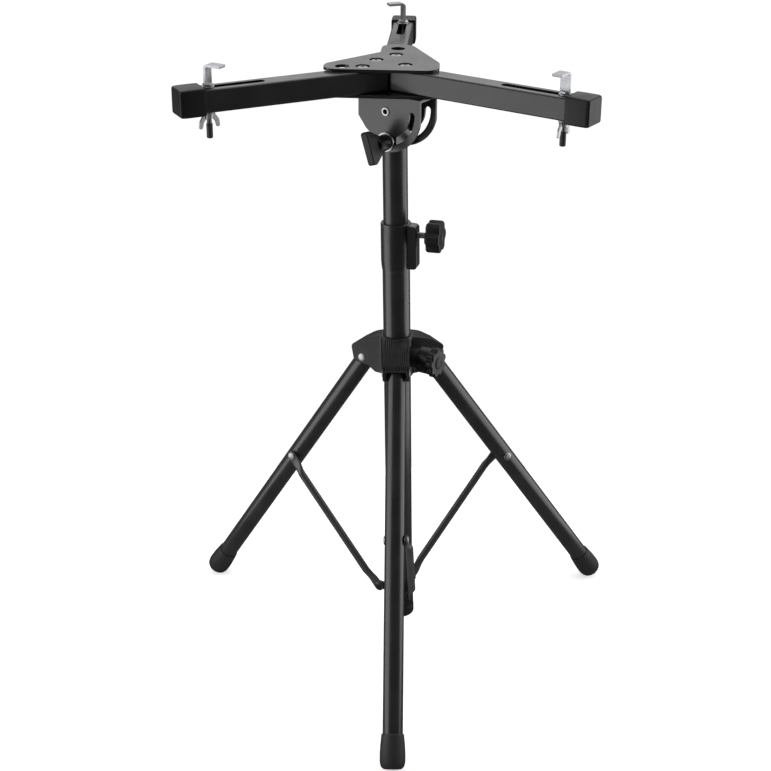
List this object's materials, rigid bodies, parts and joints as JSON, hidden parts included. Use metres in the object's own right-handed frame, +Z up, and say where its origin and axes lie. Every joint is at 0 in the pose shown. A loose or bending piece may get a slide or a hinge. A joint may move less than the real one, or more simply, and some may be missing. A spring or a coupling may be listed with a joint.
{
  "type": "folding tripod stand",
  "caption": "Folding tripod stand with a telescoping mast and a tilting cradle whose slotted arms carry adjustable hooks.",
  "frame": {"origin": "on the mast's axis at floor level, the lowest point of the open feet", "axes": "+Z up along the mast; the front leg points along -Y, the other two lie 120 degrees either side of it"},
  "size_m": [0.4624, 0.4864, 0.6604],
  "materials": {
    "paint": "satin",
    "plastic": "fine matte",
    "rubber": "matte",
    "zinc": "bright zinc plate"
  },
  "bodies": {
    "hub": {"hub": "plastic", "leg_hinge_rivets": "zinc"},
    "hub_clamp": {"hub_screw": "zinc", "hub_knob": "plastic"},
    "mast": {"lower_tube": "paint", "brace_collar": "plastic", "mast_plug": "plastic", "clamp_sleeve": "paint"},
    "height_clamp": {"height_screw": "zinc", "height_knob": "plastic"},
    "guide": {"guide_bush": "plastic"},
    "upper_mast": {"upper_tube": "paint", "tongue_block": "paint", "tilt_bolt": "zinc", "tilt_washers": "zinc"},
    "tilt_clamp": {"tilt_knob": "plastic"},
    "cradle": {"tilt_bracket": "paint", "pivot_rivet": "zinc", "bottom_plate": "paint", "top_plate": "paint", "plate_spacer": "paint", "plate_bolts": "zinc", "arm_rear": "paint", "arm_right": "paint", "arm_left": "paint", "end_cap_rear": "plastic", "end_cap_right": "plastic", "end_cap_left": "plastic"},
    "leg_front": {"leg_tube_front": "paint", "foot_front": "rubber", "leg_rivet_front": "zinc"},
    "brace_arm_front": {"brace_front": "paint", "brace_pin_front": "paint"},
    "leg_right": {"leg_tube_right": "paint", "foot_right": "rubber", "leg_rivet_right": "zinc"},
    "brace_arm_right": {"brace_right": "paint", "brace_pin_right": "paint"},
    "leg_left": {"leg_tube_left": "paint", "foot_left": "rubber", "leg_rivet_left": "zinc"},
    "brace_arm_left": {"brace_left": "paint", "brace_pin_left": "paint"},
    "carriage_rear": {"slide_washers_rear": "zinc"},
    "hook_body_rear": {"hook_rear": "zinc", "rod_sleeve_rear": "rubber"},
    "nut_rear": {"wing_nut_rear": "zinc"},
    "carriage_right": {"slide_washers_right": "zinc"},
    "hook_body_right": {"hook_right": "zinc", "rod_sleeve_right": "rubber"},
    "nut_right": {"wing_nut_right": "zinc"},
    "carriage_left": {"slide_washers_left": "zinc"},
    "hook_body_left": {"hook_left": "zinc", "rod_sleeve_left": "rubber"},
    "nut_left": {"wing_nut_left": "zinc"}
  },
  "joints": [
    {"name": "mast_through_hub", "type": "slide", "parent": "hub", "child": "mast", "axis": [0, 0, -1], "range_m": [0, 0.06972]},
    {"name": "leg_front_fold", "type": "hinge", "parent": "hub", "child": "leg_front", "pos_m": [0, -0.035, 0.3291], "axis": [1, 0, 0], "range_deg": [0, 34.39]},
    {"name": "brace_front_turn", "type": "hinge", "parent": "leg_front", "child": "brace_arm_front", "pos_m": [0, -0.13104, 0.18883], "axis": [-1, 0, 0], "range_deg": [0, 69.58]},
    {"name": "leg_right_fold", "type": "hinge", "parent": "hub", "child": "leg_right", "pos_m": [0.03031, 0.0175, 0.3291], "axis": [-0.5, 0.866, 0], "range_deg": [0, 34.39]},
    {"name": "brace_right_turn", "type": "hinge", "parent": "leg_right", "child": "brace_arm_right", "pos_m": [0.11349, 0.06552, 0.18883], "axis": [0.5, -0.866, 0], "range_deg": [0, 69.58]},
    {"name": "leg_left_fold", "type": "hinge", "parent": "hub", "child": "leg_left", "pos_m": [-0.03031, 0.0175, 0.3291], "axis": [-0.5, -0.866, 0], "range_deg": [0, 34.39]},
    {"name": "brace_left_turn", "type": "hinge", "parent": "leg_left", "child": "brace_arm_left", "pos_m": [-0.11349, 0.06552, 0.18883], "axis": [0.5, 0.866, 0], "range_deg": [0, 69.58]},
    {"name": "hub_knob_turn", "type": "hinge", "parent": "hub", "child": "hub_clamp", "pos_m": [0.02511, -0.0145, 0.3361], "axis": [0.866, -0.5, 0], "range_deg": [0, 720]},
    {"name": "mast_height", "type": "slide", "parent": "mast", "child": "guide", "axis": [0, 0, 1], "range_m": [-0.05, 0.2]},
    {"name": "mast_turn", "type": "hinge", "parent": "guide", "child": "upper_mast", "pos_m": [0, 0, 0.1771], "axis": [0, 0, 1], "continuous": true},
    {"name": "height_knob_turn", "type": "hinge", "parent": "mast", "child": "height_clamp", "pos_m": [0.03202, -0.00798, 0.4671], "axis": [0.9703, -0.2419, 0], "range_deg": [0, 720]},
    {"name": "cradle_tilt", "type": "hinge", "parent": "upper_mast", "child": "cradle", "pos_m": [0, 0, 0.5951], "axis": [0.5255, 0.8508, 0], "range_deg": [-1.2, 60.8]},
    {"name": "tilt_knob_turn", "type": "hinge", "parent": "upper_mast", "child": "tilt_clamp", "pos_m": [-0.01314, -0.02127, 0.5651], "axis": [-0.5255, -0.8508, 0], "range_deg": [0, 720]},
    {"name": "hook_rear_slide", "type": "slide", "parent": "cradle", "child": "carriage_rear", "axis": [0.0298, 0.9995, 0.0105], "range_m": [-0.051, 0]},
    {"name": "hook_rear_turn", "type": "hinge", "parent": "carriage_rear", "child": "hook_body_rear", "pos_m": [0.00343, 0.18924, 0.63813], "axis": [0.0178, -0.011, 0.9998], "continuous": true},
    {"name": "wing_nut_rear_turn", "type": "hinge", "parent": "hook_body_rear", "child": "nut_rear", "pos_m": [0.00343, 0.18924, 0.63813], "axis": [-0.0178, 0.011, -0.9998], "continuous": true},
    {"name": "hook_right_slide", "type": "slide", "parent": "cradle", "child": "carriage_right", "axis": [0.8506, -0.5254, -0.0209], "range_m": [-0.063, 0]},
    {"name": "hook_right_turn", "type": "hinge", "parent": "carriage_right", "child": "hook_body_right", "pos_m": [0.15776, -0.09743, 0.63222], "axis": [0.0178, -0.011, 0.9998], "continuous": true},
    {"name": "wing_nut_right_turn", "type": "hinge", "parent": "hook_body_right", "child": "nut_right", "pos_m": [0.15776, -0.09743, 0.63222], "axis": [-0.0178, 0.011, -0.9998], "continuous": true},
    {"name": "hook_left_slide", "type": "slide", "parent": "cradle", "child": "carriage_left", "axis": [-0.8804, -0.4741, 0.0105], "range_m": [-0.053, 0]},
    {"name": "hook_left_turn", "type": "hinge", "parent": "carriage_left", "child": "hook_body_left", "pos_m": [-0.16767, -0.0878, 0.63813], "axis": [0.0178, -0.011, 0.9998], "continuous": true},
    {"name": "wing_nut_left_turn", "type": "hinge", "parent": "hook_body_left", "child": "nut_left", "pos_m": [-0.16767, -0.0878, 0.63813], "axis": [-0.0178, 0.011, -0.9998], "continuous": true}
  ],
  "couplings": [
    {"joint": "leg_front_fold", "follows": "mast_through_hub", "rad_per_m": 8.6074},
    {"joint": "brace_front_turn", "follows": "mast_through_hub", "rad_per_m": 17.417},
    {"joint": "leg_right_fold", "follows": "mast_through_hub", "rad_per_m": 8.6074},
    {"joint": "brace_right_turn", "follows": "mast_through_hub", "rad_per_m": 17.417},
    {"joint": "leg_left_fold", "follows": "mast_through_hub", "rad_per_m": 8.6074},
    {"joint": "brace_left_turn", "follows": "mast_through_hub", "rad_per_m": 17.417}
  ]
}
